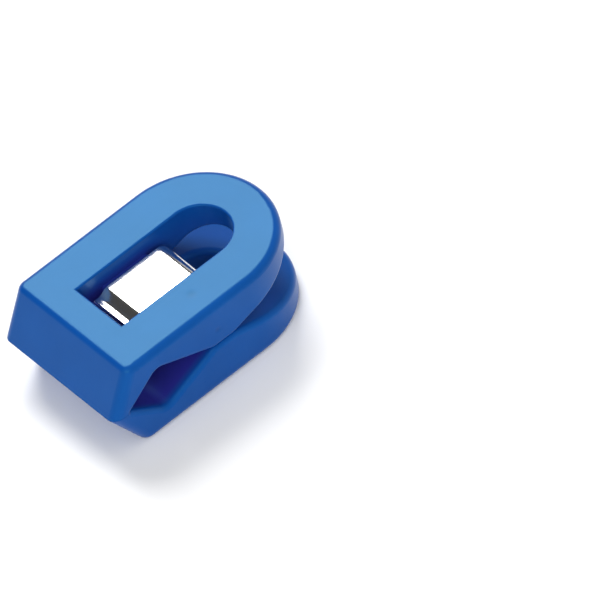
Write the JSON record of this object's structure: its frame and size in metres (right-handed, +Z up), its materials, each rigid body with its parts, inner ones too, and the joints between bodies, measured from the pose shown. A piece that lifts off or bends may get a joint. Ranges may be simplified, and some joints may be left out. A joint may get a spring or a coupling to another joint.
{
  "type": "spring clip",
  "caption": "Small spring clip for papers: paired blue plastic levers, square jaw at one end and rounded windowed handles at the other, held by a bent metal strip spring.",
  "frame": {"origin": "centre of the bounding box in plan, on the lower lever's flat outer face", "axes": "+X from the jaws to the rounded handles, +Z up from the lower lever to the upper lever, +Y across the width"},
  "size_m": [0.032, 0.0206, 0.0122],
  "materials": {
    "lever_plastic": "satin, royal blue moulded plastic",
    "spring_steel": "bright nickel-plated spring strip"
  },
  "bodies": {
    "lower": {"lower_lever": "lever_plastic", "spring": "spring_steel"},
    "upper": {"upper_lever": "lever_plastic"}
  },
  "joints": [
    {"name": "lever_rock", "type": "hinge", "parent": "lower", "child": "upper", "pos_m": [0.0023, 0, 0.0061], "axis": [0, 1, 0], "range_deg": [0, 30], "stiffness_Nm_per_rad": 0.15, "springref_deg": -20.05, "deforming": ["spring"]}
  ]
}
